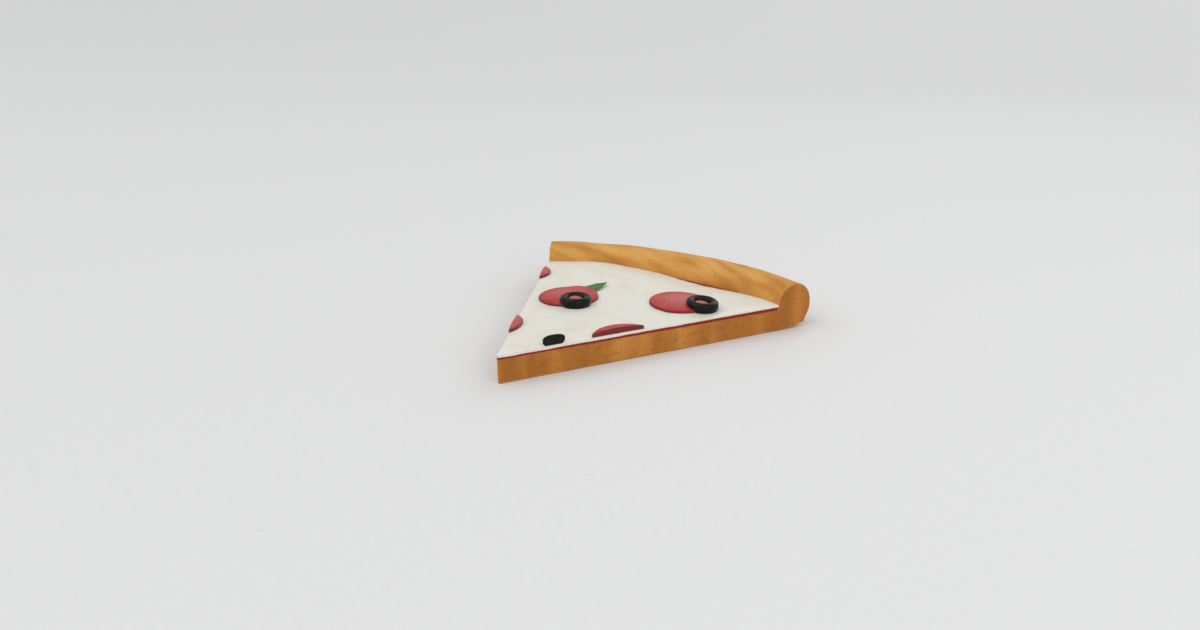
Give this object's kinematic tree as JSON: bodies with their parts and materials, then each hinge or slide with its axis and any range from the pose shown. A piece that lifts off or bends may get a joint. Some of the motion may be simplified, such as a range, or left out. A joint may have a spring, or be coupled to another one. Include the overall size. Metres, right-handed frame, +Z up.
{
  "type": "pizza slice",
  "caption": "Wedge of baked pizza with a rolled rim, tomato sauce, melted cheese, pepperoni, olive rings and a basil leaf, resting on its flat base.",
  "frame": {"origin": "on the surface that the slice lies on, under the middle of its bounding box", "axes": "+Z up, +Y from the slice's tip towards its rim, +X to the right when looking from the tip to the rim"},
  "size_m": [0.177, 0.1793, 0.0261],
  "materials": {
    "baked_dough": "baked crust, dry and matt, golden with browner streaks",
    "cooked_tomato": "moist and smooth",
    "mozzarella": "melted and set, satin, cream coloured",
    "cured_sausage": "oily, with paler flecks of fat",
    "black_olive": "moist, with a soft shine",
    "basil": "fresh leaf with a waxy sheen"
  },
  "bodies": {
    "root": {"pizza_dough": "baked_dough", "tomato_sauce": "cooked_tomato", "melted_cheese": "mozzarella", "pepperoni_left": "cured_sausage", "pepperoni_right": "cured_sausage", "pepperoni_cut_front": "cured_sausage", "pepperoni_cut_tip_side": "cured_sausage", "pepperoni_cut_rim_side": "cured_sausage", "olive_ring_left": "black_olive", "olive_ring_right": "black_olive", "olive_cut": "black_olive", "basil_leaf": "basil"}
  },
  "joints": []
}
